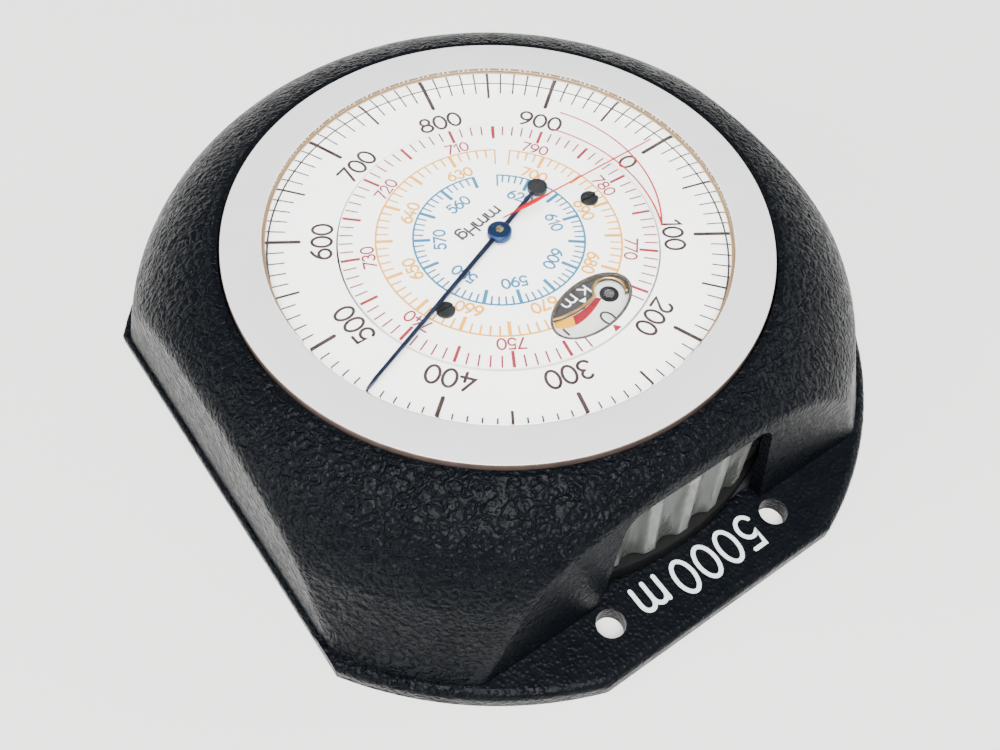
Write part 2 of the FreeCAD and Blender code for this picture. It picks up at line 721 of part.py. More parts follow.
NODES = {
    "housing": housing,
    "rear_cover": rear_cover,
    "cover_screws": cover_screws,
    "movement_screws": movement_screws,
    "glide_ring": glide_ring,
    "friction_washer": friction_washer,
    "setting_ring": setting_ring,
    "altitude_dial": altitude_dial,
    "bezel": bezel,
    "tension_ring": tension_ring,
    "crystal_gasket": crystal_gasket,
    "crystal": crystal,
    "pressure_dial": pressure_dial,
    "kilometre_mask": kilometre_mask,
    "dial_posts": dial_posts,
    "dial_screws": dial_screws,
    "base_plate": base_plate,
    "lower_pillars": lower_pillars,
    "upper_pillars": upper_pillars,
    "train_plate": train_plate,
    "upper_bridge": upper_bridge,
    "bridge_screws": bridge_screws,
    "jewel_bearings": jewel_bearings,
    "kilometre_stud": kilometre_stud,
    "hairspring": hairspring,
    "hairspring_stud": hairspring_stud,
    "rocker_brackets": rocker_brackets,
    "lower_capsule": lower_capsule,
    "upper_capsule": upper_capsule,
    "capsule_posts": capsule_posts,
    "pointer": pointer,
    "pointer_counterweight": pointer_counterweight,
    "pointer_hub": pointer_hub,
    "centre_arbor": centre_arbor,
    "centre_pinion": centre_pinion,
    "hairspring_collet": hairspring_collet,
    "kilometre_pinion": kilometre_pinion,
    "intermediate_arbor": intermediate_arbor,
    "intermediate_wheel": intermediate_wheel,
    "intermediate_pinion": intermediate_pinion,
    "kilometre_pipe": kilometre_pipe,
    "kilometre_wheel": kilometre_wheel,
    "kilometre_disc": kilometre_disc,
    "sector_gear": sector_gear,
    "sector_arbor": sector_arbor,
    "sector_crank": sector_crank,
    "rocking_shaft": rocking_shaft,
    "capsule_lever": capsule_lever,
    "drive_lever": drive_lever,
    "capsule_link": capsule_link,
}

os.makedirs("parts", exist_ok=True)
for name, make in NODES.items():
    made = make()
    if isinstance(made, list):
        made = Part.makeCompound(made)
    solids = len(made.Solids)
    print(name, "solids", solids, "valid", made.isValid(), "mm3", round(made.Volume, 2))
    made.exportStep("parts/" + name + ".step")
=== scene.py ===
import json
import math

import bpy
import numpy as np
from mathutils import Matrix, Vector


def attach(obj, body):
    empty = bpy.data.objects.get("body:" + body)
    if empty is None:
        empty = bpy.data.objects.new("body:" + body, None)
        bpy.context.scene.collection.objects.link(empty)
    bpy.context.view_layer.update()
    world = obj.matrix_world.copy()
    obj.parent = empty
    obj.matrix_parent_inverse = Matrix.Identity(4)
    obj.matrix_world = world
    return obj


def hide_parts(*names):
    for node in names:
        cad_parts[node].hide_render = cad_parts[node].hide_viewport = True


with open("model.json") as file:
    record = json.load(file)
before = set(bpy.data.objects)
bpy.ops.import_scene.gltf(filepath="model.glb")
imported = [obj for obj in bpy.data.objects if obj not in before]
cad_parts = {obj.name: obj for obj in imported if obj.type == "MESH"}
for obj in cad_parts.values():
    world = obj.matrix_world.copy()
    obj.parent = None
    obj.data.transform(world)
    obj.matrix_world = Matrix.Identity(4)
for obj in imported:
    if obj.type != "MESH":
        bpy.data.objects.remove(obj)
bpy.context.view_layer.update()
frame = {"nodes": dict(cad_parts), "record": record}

MM = 0.001
FULL_TURN_M = 1000.0        # metres of height for one turn of the needle
ZERO_AT = 184.0             # direction of the altitude ring's 0, degrees from +X
WINDOW_AT = 101.4           # direction of the kilometre window

WINDOW_R = 12.5             # kilometre window's distance from the dial's axis
WINDOW_SHORT = 2.72         # half its width
WINDOW_LONG = 4.9           # half its length
RED_R = 16.3                # outer rings of the three pressure scales
ORANGE_R = 12.6
BLUE_R = 8.8

ALTITUDE_Z = 18.2           # printed face of the altitude ring
TICK_R = 23.5
PRESSURE_Z = 18.35          # printed face of the pressure dial
DISC_Z = 17.25              # kilometre disc
MASK_Z = 17.8
CRYSTAL_Z = 20.5
CRYSTAL_UNDER_Z = 19.8
CRYSTAL_R = 23.8
FLAT_R = 23.5               # the crystal's faces are flat out to here
LUG_Z = 2.2

# ---------------------------------------------------------------- mesh helpers


def add_mesh(name, verts, faces, material, body, smooth=False):
    """A mesh object from points in millimetres, riding on a body."""
    mesh = bpy.data.meshes.new(name)
    mesh.from_pydata([tuple(float(c) * MM for c in v) for v in verts], [], faces)
    mesh.validate()
    mesh.polygons.foreach_set("use_smooth", [smooth] * len(mesh.polygons))
    mesh.update()
    obj = bpy.data.objects.new(name, mesh)
    bpy.context.scene.collection.objects.link(obj)
    obj.data.materials.append(material)
    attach(obj, body)
    return obj


def polar(radius, degrees):
    a = math.radians(degrees)
    return np.array([radius * math.cos(a), radius * math.sin(a)])


def arc(cx, cy, rx, ry, start, end, steps=0):
    """Points of an elliptical arc, angles in degrees."""
    steps = steps or max(4, int(abs(end - start) / 12))
    return [(cx + rx * math.cos(math.radians(a)), cy + ry * math.sin(math.radians(a)))
            for a in np.linspace(start, end, steps + 1)]


def curve(p, q, r, steps=9):
    """Points of a quadratic bend from p to r, pulled towards q."""
    return [tuple((1 - t) ** 2 * np.array(p) + 2 * t * (1 - t) * np.array(q) + t * t * np.array(r))
            for t in np.linspace(0, 1, steps)]


class Print:
    """Flat printed marks gathered into one mesh. Each stroke lies a hair above the one before."""

    LIFT = 0.012
    LAYER = 0.0025

    def __init__(self, z):
        self.z = z
        self.verts = []
        self.faces = []
        self.count = 0

    def stroke(self, points, width, closed=False, layer=None, round_ends=True):
        p = np.array(points, float)
        keep = [0] + [i for i in range(1, len(p)) if np.linalg.norm(p[i] - p[i - 1]) > 1e-6]
        p = p[keep]
        if closed and np.linalg.norm(p[0] - p[-1]) < 1e-6:
            p = p[:-1]
        n = len(p)
        ahead = np.roll(p, -1, 0) - p
        if not closed:
            ahead[-1] = ahead[-2]
        ahead = ahead / np.linalg.norm(ahead, axis=1)[:, None]
        behind = np.roll(ahead, 1, 0)
        if not closed:
            behind[0] = ahead[0]
        na = np.stack([-ahead[:, 1], ahead[:, 0]], 1)
        nb = np.stack([-behind[:, 1], behind[:, 0]], 1)
        side = na + nb
        side = side / np.maximum(np.sum(side * side, axis=1), 0.9)[:, None] * 2 * (width / 2)
        layer = self.count % 4 if layer is None else layer
        self.count += 1
        z = self.z + self.LIFT + self.LAYER * layer
        base = len(self.verts)
        for left, right in zip(p + side, p - side):
            self.verts.append((left[0], left[1], z))
            self.verts.append((right[0], right[1], z))
        for i in range(n if closed else n - 1):
            j = (i + 1) % n
            a, b = base + 2 * i, base + 2 * j
            self.faces.append((a, a + 1, b + 1, b))
        if not closed and round_ends:
            for end, outward in ((0, -1), (n - 1, 1)):
                d = ahead[end] * outward
                s = np.array([-d[1], d[0]])
                fan = []
                for t in np.linspace(90, -90, 7):
                    q = p[end] + width / 2 * (math.cos(math.radians(t)) * d + math.sin(math.radians(t)) * s)
                    fan.append(len(self.verts))
                    self.verts.append((q[0], q[1], z))
                self.faces.append(tuple(reversed(fan)))

    def tick(self, degrees, outer, inner, width, layer=None, round_ends=False):
        self.stroke([polar(outer, degrees), polar(inner, degrees)], width, layer=layer, round_ends=round_ends)

    def circle(self, radius, width, start=0.0, end=360.0):
        whole = abs(end - start) >= 360
        self.stroke(arc(0, 0, radius, radius, start, end, int(abs(end - start) / 1.5)), width,
                    closed=whole, layer=0, round_ends=False)

    def text(self, string, centre, height, up, width, aspect=1.0):
        advance = [GLYPHS[c][0] for c in string]
        total = (sum(advance) + GAP * (len(string) - 1)) * height * aspect
        u = polar(1, up)
        r = polar(1, up - 90)
        x = -total / 2
        for c, adv in zip(string, advance):
            for k, line in enumerate(GLYPHS[c][1]):
                points = [np.array(centre) + r * (x + px * height * aspect) + u * ((py - 0.5) * height)
                          for px, py in line]
                closed = np.linalg.norm(np.array(line[0]) - np.array(line[-1])) < 1e-6
                self.stroke(points, width, closed=closed, layer=k)
            x += (adv + GAP) * height * aspect

    def triangle(self, tip, left, right, layer=1):
        z = self.z + self.LIFT + self.LAYER * layer
        base = len(self.verts)
        for q in (tip, left, right):
            self.verts.append((q[0], q[1], z))
        a, b, c = (np.array(q) for q in (tip, left, right))
        turn = np.cross(b - a, c - a)
        self.faces.append((base, base + 1, base + 2) if turn > 0 else (base, base + 2, base + 1))

    def band(self, inner, outer, layer=0):
        """A filled strip between two curves of equally many points."""
        z = self.z + self.LIFT + self.LAYER * layer
        base = len(self.verts)
        for a, b in zip(inner, outer):
            self.verts.append((a[0], a[1], z))
            self.verts.append((b[0], b[1], z))
        for i in range(len(inner) - 1):
            q = base + 2 * i
            self.faces.append((q, q + 2, q + 3, q + 1))

    def make(self, name, material, body, slot=None):
        obj = add_mesh(name, self.verts, self.faces, material, body)
        flip = [f.index for f in obj.data.polygons if f.normal.z < 0]
        for i in flip:
            obj.data.polygons[i].flip()
        return obj


GAP = 0.17
GLYPHS = {
    "0": (0.66, [arc(0.33, 0.5, 0.33, 0.5, 90, 450, 32)]),
    "1": (0.34, [[(0.02, 0.76), (0.28, 1.0), (0.28, 0.0)]]),
    "2": (0.62, [arc(0.30, 0.70, 0.27, 0.30, 168, -32) + [(0.02, 0.0), (0.62, 0.0)]]),
    "3": (0.60, [arc(0.27, 0.755, 0.25, 0.245, 150, -75), arc(0.28, 0.265, 0.30, 0.265, 82, -150)]),
    "4": (0.68, [[(0.42, 1.0), (0.0, 0.28), (0.68, 0.28)], [(0.46, 0.52), (0.46, 0.0)]]),
    "5": (0.62, [[(0.56, 1.0), (0.12, 1.0), (0.07, 0.55)] + arc(0.30, 0.33, 0.31, 0.33, 128, -150)]),
    "6": (0.62, [curve((0.46, 1.0), (0.06, 0.78), (0.01, 0.31)),
                 arc(0.315, 0.31, 0.305, 0.31, 180, -180, 26)]),
    "7": (0.60, [[(0.0, 1.0), (0.60, 1.0), (0.18, 0.0)]]),
    "8": (0.62, [arc(0.31, 0.755, 0.245, 0.245, 90, 450, 24), arc(0.31, 0.26, 0.31, 0.26, 90, 450, 26)]),
    "9": (0.62, [curve((0.16, 0.0), (0.56, 0.22), (0.61, 0.69)), arc(0.305, 0.69, 0.305, 0.31, 0, 360, 26)]),
    "m": (0.90, [[(0.0, 0.0), (0.0, 0.70)],
                 arc(0.225, 0.46, 0.225, 0.24, 178, 0) + [(0.45, 0.0)],
                 arc(0.675, 0.46, 0.225, 0.24, 178, 0) + [(0.90, 0.0)]]),
    "k": (0.48, [[(0.0, 0.0), (0.0, 1.0)], [(0.44, 0.68), (0.02, 0.28)], [(0.16, 0.42), (0.48, 0.0)]]),
    "g": (0.54, [arc(0.26, 0.36, 0.26, 0.32, 90, 450, 22),
                 [(0.53, 0.70), (0.53, -0.08)] + arc(0.27, -0.08, 0.26, 0.22, 0, -150)]),
    "H": (0.60, [[(0.0, 0.0), (0.0, 1.0)], [(0.60, 0.0), (0.60, 1.0)], [(0.0, 0.5), (0.60, 0.5)]]),
    " ": (0.30, []),
}


def lathe(name, profile, material, body, segments=256, outward=None, smooth=True):
    """A closed ring turned from a loop of (radius, height) points.

    outward(angle, r, z) may move each radius.
    """
    verts = []
    for k in range(segments):
        a = 2 * math.pi * k / segments
        for r, z in profile:
            rr = outward(a, r, z) if outward else r
            verts.append((rr * math.cos(a), rr * math.sin(a), z))
    n = len(profile)
    faces = []
    for k in range(segments):
        k2 = (k + 1) % segments
        for i in range(n):
            j = (i + 1) % n
            faces.append((k * n + i, k2 * n + i, k2 * n + j, k * n + j))
    obj = add_mesh(name, verts, faces, material, body, smooth)
    return obj


def bevelled(corners, radius, steps=4):
    """A (r, z) loop with each corner rounded by the given radius, or by its own third value."""
    out = []
    n = len(corners)
    for i in range(n):
        p = np.array(corners[i][:2], float)
        own = corners[i][2] if len(corners[i]) > 2 else radius
        a = np.array(corners[i - 1][:2], float) - p
        b = np.array(corners[(i + 1) % n][:2], float) - p
        la, lb = np.linalg.norm(a), np.linalg.norm(b)
        cut = min(own, la * 0.45, lb * 0.45)
        if cut < 1e-4:
            out.append(tuple(p))
            continue
        out += [tuple(q) for q in curve(p + a / la * cut, p, p + b / lb * cut, steps + 1)]
    return out


def sharpen(obj, degrees=32):
    """Shade smooth, with edges over this angle kept crisp."""
    bpy.context.view_layer.objects.active = obj
    obj.select_set(True)
    bpy.ops.object.shade_smooth_by_angle(angle=math.radians(degrees))
    obj.select_set(False)


# ---------------------------------------------------------------- materials


class Look:
    """A node material under construction."""

    def __init__(self, name, colour, roughness=0.5, metallic=0.0, **sockets):
        self.material = bpy.data.materials.new(name)
        self.material.use_nodes = True
        self.tree = self.material.node_tree
        self.shader = self.tree.nodes["Principled BSDF"]
        self.set("Base Color", (*colour, 1.0))
        self.set("Roughness", roughness)
        self.set("Metallic", metallic)
        for key, value in sockets.items():
            self.set(key.replace("_", " "), value)
        self.where = self.node("ShaderNodeTexCoord").outputs["Object"]

    def set(self, socket, value):
        self.shader.inputs[socket].default_value = value

    def node(self, kind, **settings):
        n = self.tree.nodes.new(kind)
        for key, value in settings.items():
            setattr(n, key, value)
        return n

    def link(self, a, b):
        self.tree.links.new(a, b)

    def noise(self, per_mm, detail=3.0, rough=0.5, warp=0.0, stretch=(1, 1, 1)):
        m = self.node("ShaderNodeMapping")
        m.inputs["Scale"].default_value = [1000 * per_mm * s for s in stretch]
        self.link(self.where, m.inputs["Vector"])
        n = self.node("ShaderNodeTexNoise")
        n.inputs["Scale"].default_value = 1.0
        n.inputs["Detail"].default_value = detail
        n.inputs["Roughness"].default_value = rough
        n.inputs["Distortion"].default_value = warp
        self.link(m.outputs["Vector"], n.inputs["Vector"])
        return n.outputs["Fac"]

    def cells(self, per_mm, feature="F1", smooth=0.0):
        m = self.node("ShaderNodeMapping")
        m.inputs["Scale"].default_value = [1000 * per_mm] * 3
        self.link(self.where, m.inputs["Vector"])
        v = self.node("ShaderNodeTexVoronoi", feature=feature)
        v.inputs["Scale"].default_value = 1.0
        if smooth:
            v.inputs["Smoothness"].default_value = smooth
        self.link(m.outputs["Vector"], v.inputs["Vector"])
        return v.outputs["Distance"]

    def math(self, operation, a, b=0.5, c=None):
        n = self.node("ShaderNodeMath", operation=operation)
        for socket, value in zip(n.inputs, (a, b, c)):
            if value is None:
                continue
            if isinstance(value, (int, float)):
                socket.default_value = value
            else:
                self.link(value, socket)
        return n.outputs[0]

    def spread(self, value, low, high, out_low=0.0, out_high=1.0):
        n = self.node("ShaderNodeMapRange", interpolation_type="SMOOTHSTEP")
        for key, v in (("From Min", low), ("From Max", high), ("To Min", out_low), ("To Max", out_high)):
            n.inputs[key].default_value = v
        self.link(value, n.inputs["Value"])
        return n.outputs["Result"]

    def tint(self, value, dark, light):
        n = self.node("ShaderNodeMix", data_type="RGBA")
        n.inputs["A"].default_value = (*dark, 1.0)
        n.inputs["B"].default_value = (*light, 1.0)
        self.link(value, n.inputs["Factor"])
        return n.outputs["Result"]

    def mix(self, value, a, b):
        n = self.node("ShaderNodeMix", data_type="RGBA")
        self.link(value, n.inputs["Factor"])
        self.link(a, n.inputs["A"])
        self.link(b, n.inputs["B"])
        return n.outputs["Result"]

    def along_y(self):
        """The point's distance towards the lug, in millimetres."""
        s = self.node("ShaderNodeSeparateXYZ")
        self.link(self.where, s.inputs[0])
        return self.math("MULTIPLY", s.outputs["Y"], 1000.0)

    def radius(self):
        s = self.node("ShaderNodeSeparateXYZ")
        self.link(self.where, s.inputs[0])
        x2 = self.math("MULTIPLY", s.outputs["X"], s.outputs["X"])
        y2 = self.math("MULTIPLY", s.outputs["Y"], s.outputs["Y"])
        return self.math("MULTIPLY", self.math("SQRT", self.math("ADD", x2, y2)), 1000.0)

    def colour(self, output):
        self.link(output, self.shader.inputs["Base Color"])

    def roughness(self, output):
        self.link(output, self.shader.inputs["Roughness"])

    def bump(self, value, depth_mm, strength=1.0):
        """Adds relief of this depth on top of what is already there."""
        b = self.node("ShaderNodeBump")
        b.inputs["Strength"].default_value = strength
        b.inputs["Distance"].default_value = depth_mm * MM
        self.link(value, b.inputs["Height"])
        normal = self.shader.inputs["Normal"]
        if normal.is_linked:
            self.link(normal.links[0].from_socket, b.inputs["Normal"])
        self.link(b.outputs["Normal"], normal)


def moulded_leather():
    look = Look("moulded_leather", (0.010, 0.012, 0.015), 0.36, Specular_IOR_Level=0.055)
    coarse = look.math("SUBTRACT", 1.0, look.spread(look.along_y(), 31.0, 33.2))
    worms = look.math("ABSOLUTE", look.math("SUBTRACT", look.noise(0.85, 1.5, 0.45, 0.5), 0.5))
    ridge = look.spread(worms, 0.0, 0.085)
    lumps = look.spread(look.cells(1.5, "SMOOTH_F1", 0.5), 0.12, 0.7, 1.0, 0.0)
    small = look.spread(look.cells(2.3, "SMOOTH_F1", 0.5), 0.12, 0.7, 1.0, 0.0)
    fine = look.noise(3.6, 3.0, 0.6)
    look.bump(look.noise(0.10, 2.0, 0.5), 0.12)
    look.bump(look.math("MULTIPLY", ridge, coarse), 0.15)
    look.bump(look.math("MULTIPLY", lumps, coarse), 0.09)
    look.bump(small, 0.045)
    look.bump(fine, 0.03)
    wear = look.spread(look.noise(1.9, 2.0, 0.4), 0.72, 0.80)
    base = look.tint(look.noise(0.35, 3.0, 0.5), (0.0019, 0.0026, 0.0037), (0.0040, 0.0052, 0.0070))
    look.colour(look.mix(wear, base, look.tint(fine, (0.008, 0.010, 0.012), (0.020, 0.023, 0.025))))
    look.roughness(look.spread(look.noise(0.8, 2.0, 0.5), 0.3, 0.7, 0.25, 0.40))
    return look.material


def plastic(name, dark, light, rough, depth, per_mm=2.0, shine=0.5):
    look = Look(name, light, rough, Specular_IOR_Level=shine)
    grain = look.noise(per_mm, 4.0, 0.6)
    look.colour(look.tint(look.noise(0.25, 3.0, 0.5), dark, light))
    look.roughness(look.spread(grain, 0.3, 0.7, rough - 0.06, rough + 0.08))
    look.bump(grain, depth)
    return look.material


def ring_plastic():
    """Greyish translucent plastic with painted shade in the flutes, so the ribs, which the mesh marks with
    "rib", stand out paler.
    """
    look = Look("ring_plastic", (0.20, 0.21, 0.195), 0.28, Coat_Weight=0.2, Coat_Roughness=0.2)
    streak = look.noise(0.5, 3.0, 0.5, 0.3, (1, 1, 0.25))
    rib = look.node("ShaderNodeAttribute", attribute_name="rib").outputs["Fac"]
    # painted shade: the flutes take a far darker grey than the ribs, standing in for the shade in their
    # hollows
    painted_shade_flutes = look.tint(look.spread(streak, 0.3, 0.7), (0.050, 0.054, 0.048), (0.080, 0.085, 0.077))
    raised = look.tint(streak, (0.15, 0.157, 0.145), (0.20, 0.21, 0.195))
    look.colour(look.mix(rib, painted_shade_flutes, raised))
    look.roughness(look.spread(streak, 0.3, 0.7, 0.24, 0.38))
    look.bump(look.noise(2.5, 3.0, 0.6), 0.008)
    return look.material


def turned_metal(name, colour, rough, depth, rings_per_mm=9.0, metallic=1.0, rim=None):
    """Metal faced on a lathe: fine circles round the axis, faint blotches, and a stained outer rim."""
    look = Look(name, colour, rough, metallic)
    rings = look.node("ShaderNodeTexNoise", noise_dimensions="1D")
    rings.inputs["Scale"].default_value = rings_per_mm
    rings.inputs["Detail"].default_value = 3.0
    radius = look.radius()
    look.link(radius, rings.inputs["W"])
    dark = tuple(c * 0.95 for c in colour)
    face = look.tint(look.spread(look.noise(0.12, 3.0, 0.55), 0.3, 0.7), dark, colour)
    if rim:
        stain = look.tint(look.noise(0.5, 3.0, 0.5), rim[1], rim[2])
        face = look.mix(look.spread(radius, rim[0] - 0.03, rim[0] + 0.03), face, stain)
    look.colour(face)
    look.roughness(look.spread(rings.outputs["Fac"], 0.3, 0.7, rough - 0.04, rough + 0.06))
    look.bump(rings.outputs["Fac"], depth)
    return look.material


def metal(name, dark, light, rough, per_mm=3.0, depth=0.004, stretch=(1, 1, 1)):
    look = Look(name, light, rough, 1.0)
    scratch = look.noise(per_mm, 4.0, 0.6, 0.0, stretch)
    look.colour(look.tint(look.spread(look.noise(0.3, 3.0, 0.5), 0.3, 0.7), dark, light))
    look.roughness(look.spread(scratch, 0.3, 0.7, rough - 0.06, rough + 0.1))
    look.bump(scratch, depth)
    return look.material


def dial_paint(name, dark, light, rough=0.55):
    look = Look(name, light, rough)
    look.colour(look.tint(look.noise(0.18, 4.0, 0.55), dark, light))
    look.bump(look.noise(5.0, 2.0, 0.5), 0.003)
    look.roughness(look.spread(look.noise(1.2, 3.0, 0.5), 0.3, 0.7, rough - 0.06, rough + 0.06))
    return look.material


def ink(name, colour, spread=0.12, rough=0.5):
    """Printed ink: a little uneven in density."""
    look = Look(name, colour, rough, Specular_IOR_Level=0.12)
    light = tuple(min(1.0, c + spread * (0.35 + c)) for c in colour)
    look.colour(look.tint(look.spread(look.noise(4.0, 3.0, 0.6), 0.35, 0.75), colour, light))
    look.bump(look.noise(6.0, 2.0, 0.5), 0.004)
    return look.material


def clear_crystal():
    """Acrylic crystal that lets the lamps through to the dial."""
    look = Look("clear_crystal", (0.99, 0.995, 0.99), 0.015, IOR=1.33, Transmission_Weight=1.0)
    look.roughness(look.spread(look.noise(0.8, 3.0, 0.5), 0.3, 0.75, 0.0, 0.035))
    path = look.node("ShaderNodeLightPath")
    through = look.node("ShaderNodeBsdfTransparent")
    both = look.node("ShaderNodeMixShader")
    look.link(path.outputs["Is Shadow Ray"], both.inputs[0])
    look.link(look.shader.outputs[0], both.inputs[1])
    look.link(through.outputs[0], both.inputs[2])
    look.link(both.outputs[0], look.tree.nodes["Material Output"].inputs["Surface"])
    return look.material


def felt():
    look = Look("felt", (0.05, 0.05, 0.055), 0.95, Sheen_Weight=0.4)
    fibre = look.noise(4.0, 5.0, 0.7, 1.5)
    look.colour(look.tint(fibre, (0.03, 0.03, 0.035), (0.09, 0.09, 0.095)))
    look.bump(fibre, 0.05)
    return look.material


def jewel():
    look = Look("jewel", (0.75, 0.02, 0.12), 0.08, IOR=1.76, Transmission_Weight=0.6)
    look.colour(look.tint(look.noise(2.0, 2.0, 0.5), (0.55, 0.01, 0.08), (0.85, 0.05, 0.16)))
    look.bump(look.noise(3.0, 2.0, 0.5), 0.002)
    return look.material


MATERIALS = {
    "housing_plastic": moulded_leather(),
    "cover_plastic": plastic("cover_plastic", (0.012, 0.013, 0.015), (0.022, 0.024, 0.027), 0.5, 0.03),
    "ring_plastic": ring_plastic(),
    "slide_plastic": plastic("slide_plastic", (0.004, 0.004, 0.004), (0.008, 0.008, 0.009),
                             0.6, 0.01, 2.0, 0.15),
    "bezel_metal": turned_metal("bezel_metal", (0.95, 0.955, 0.96), 0.34, 0.0012, 9.0, 0.30,
                                (27.83, (0.10, 0.07, 0.06), (0.24, 0.17, 0.145))),
    "polished_metal": turned_metal("polished_metal", (0.90, 0.90, 0.89), 0.06, 0.0005, 4.0),
    "gasket": plastic("gasket", (0.24, 0.15, 0.07), (0.36, 0.24, 0.13), 0.6, 0.01, 3.0),
    "crystal": clear_crystal(),
    "altitude_dial": dial_paint("altitude_paint", (0.86, 0.857, 0.835), (0.90, 0.897, 0.877)),
    "pressure_dial": dial_paint("pressure_paint", (0.86, 0.857, 0.835), (0.90, 0.897, 0.877)),
    "mask_paint": plastic("mask_paint", (0.012, 0.012, 0.013), (0.03, 0.03, 0.03), 0.45, 0.01, 4.0),
    "kilometre_paint": dial_paint("kilometre_paint", (0.46, 0.46, 0.43), (0.58, 0.58, 0.55)),
    "screw_steel": metal("screw_steel", (0.018, 0.020, 0.022), (0.035, 0.038, 0.040), 0.5, 5.0, 0.006),
    "frame_brass": metal("frame_brass", (0.62, 0.46, 0.20), (0.74, 0.57, 0.28), 0.34, 2.0, 0.004, (1, 8, 1)),
    "gear_brass": metal("gear_brass", (0.66, 0.49, 0.21), (0.78, 0.61, 0.30), 0.24, 4.0, 0.003),
    "arbor_steel": metal("arbor_steel", (0.50, 0.50, 0.51), (0.66, 0.66, 0.67), 0.20, 4.0, 0.002),
    "jewel": jewel(),
    "capsule_metal": metal("capsule_metal", (0.58, 0.56, 0.50), (0.70, 0.68, 0.62), 0.30, 2.5, 0.003),
    "needle_blue": metal("needle_blue", (0.016, 0.025, 0.055), (0.030, 0.050, 0.110), 0.34, 5.0, 0.003),
    "counterweight": metal("counterweight", (0.018, 0.020, 0.022), (0.036, 0.038, 0.042), 0.5, 4.0, 0.006),
    "spring_steel": metal("spring_steel", (0.07, 0.09, 0.20), (0.14, 0.18, 0.36), 0.25, 4.0, 0.002),
    "felt": felt(),
}

for part in frame["record"]["subparts"]:
    node = frame["nodes"][part["node"]]
    node.data.materials.clear()
    node.data.materials.append(MATERIALS[part["material_slot"]])

hub_blue = metal("hub_blue", (0.009, 0.025, 0.070), (0.015, 0.038, 0.105), 0.45, 5.0, 0.003)
for name, material in (("pointer_hub", hub_blue), ("kilometre_pipe", MATERIALS["screw_steel"])):
    frame["nodes"][name].data.materials[0] = material

INK_BROWN = ink("ink_brown", (0.022, 0.011, 0.010), 0.03)
INK_FINE = ink("ink_fine", (0.020, 0.018, 0.016), 0.03)
INK_RED = ink("ink_red", (0.17, 0.005, 0.012), 0.02)
INK_ORANGE = ink("ink_orange", (0.55, 0.245, 0.0), 0.02)
INK_BLUE = ink("ink_blue", (0.0, 0.10, 0.20), 0.02)
INK_BLACK = ink("ink_black", (0.022, 0.022, 0.024), 0.04)
INK_WHITE = ink("ink_white", (0.74, 0.76, 0.78), 0.05, 0.6)
INK_CRYSTAL = ink("ink_crystal_red", (0.50, 0.003, 0.008), 0.01)
INK_EDGE = ink("ink_window_edge", (0.03, 0.024, 0.02))

# ---------------------------------------------------------------- altitude ring


def height_at(metres):
    return ZERO_AT - metres * 360.0 / FULL_TURN_M


def altitude_ring():
    fine = Print(ALTITUDE_Z)
    bold = Print(ALTITUDE_Z)
    fine.circle(TICK_R - 0.05, 0.10)
    for metres in range(0, 1000, 10):
        at = height_at(metres)
        if metres % 100 == 0:
            bold.tick(at, TICK_R, 20.35, 0.42, 2, True)
        elif metres % 50 == 0:
            bold.tick(at, TICK_R, 21.0, 0.28, 2)
        else:
            fine.tick(at, TICK_R, 21.8, 0.18, 1)
    for metres in range(0, 1000, 100):
        at = height_at(metres)
        bold.text(str(metres), polar(18.05, at), 2.0, at, 0.31)
    fine.make("altitude_fine_ticks", INK_FINE, "setting", "altitude_dial")
    bold.make("altitude_numerals", INK_BROWN, "setting", "altitude_dial")


altitude_ring()

# ---------------------------------------------------------------- pressure dial


SCALE_AT = WINDOW_AT - 1.4   # direction of standard pressure on the three scales


def pressure_at(mmhg):
    """Direction of a pressure on the standard atmosphere's scale."""
    metres = 44330.0 * (1 - (mmhg / 760.0) ** 0.190284)
    return SCALE_AT - metres * 360.0 / FULL_TURN_M


def in_window(radius, degrees, grow=0.0):
    """True where a point falls in the oval kilometre window."""
    u = polar(1, WINDOW_AT)
    p = polar(radius, degrees) - polar(WINDOW_R, WINDOW_AT)
    along, across = p @ u, p @ np.array([-u[1], u[0]])
    return (along / (WINDOW_SHORT + grow)) ** 2 + (across / (WINDOW_LONG + grow)) ** 2 < 1


def scale(first, last, labels, ring, minor, major, label_r, height, widths):
    marks = Print(PRESSURE_Z)
    for mmhg in range(first, last + 1):
        at = pressure_at(mmhg)
        bold = mmhg % 5 == 0
        inner = ring - (major if bold else minor)
        if in_window(ring, at, 0.05) or in_window(inner, at, 0.05):
            continue
        marks.tick(at, ring, inner, widths[1] if bold else widths[0], 2 if bold else 1)
    for mmhg in labels:
        at = pressure_at(mmhg)
        if not in_window(label_r, at, 0.7):
            marks.text(str(mmhg), polar(label_r, at), height, at, widths[2])
    return marks


red = scale(706, 795, range(710, 800, 10), RED_R, 1.4, 1.95, 13.5, 1.25, (0.18, 0.33, 0.21))
red.triangle(polar(15.5, SCALE_AT), polar(RED_R, SCALE_AT + 1.7), polar(RED_R, SCALE_AT - 1.7))
red.make("pressure_scale_red", INK_RED, "case", "pressure_dial")

ORANGE_END = pressure_at(625) % 360
orange = scale(626, 703, range(630, 710, 10), ORANGE_R, 1.2, 1.75, 9.75, 1.2, (0.20, 0.37, 0.24))
inside = [a for a in np.arange(WINDOW_AT - 60, WINDOW_AT + 60, 0.5) if in_window(ORANGE_R, a, 0.02)]
orange.circle(ORANGE_R, 0.2, max(inside), 229.5)
orange.circle(ORANGE_R, 0.2, ORANGE_END - 360, min(inside))
for at in (229.5, ORANGE_END):
    orange.tick(at, 12.68, 10.4, 0.18, 3)
orange.make("pressure_scale_orange", INK_ORANGE, "case", "pressure_dial")

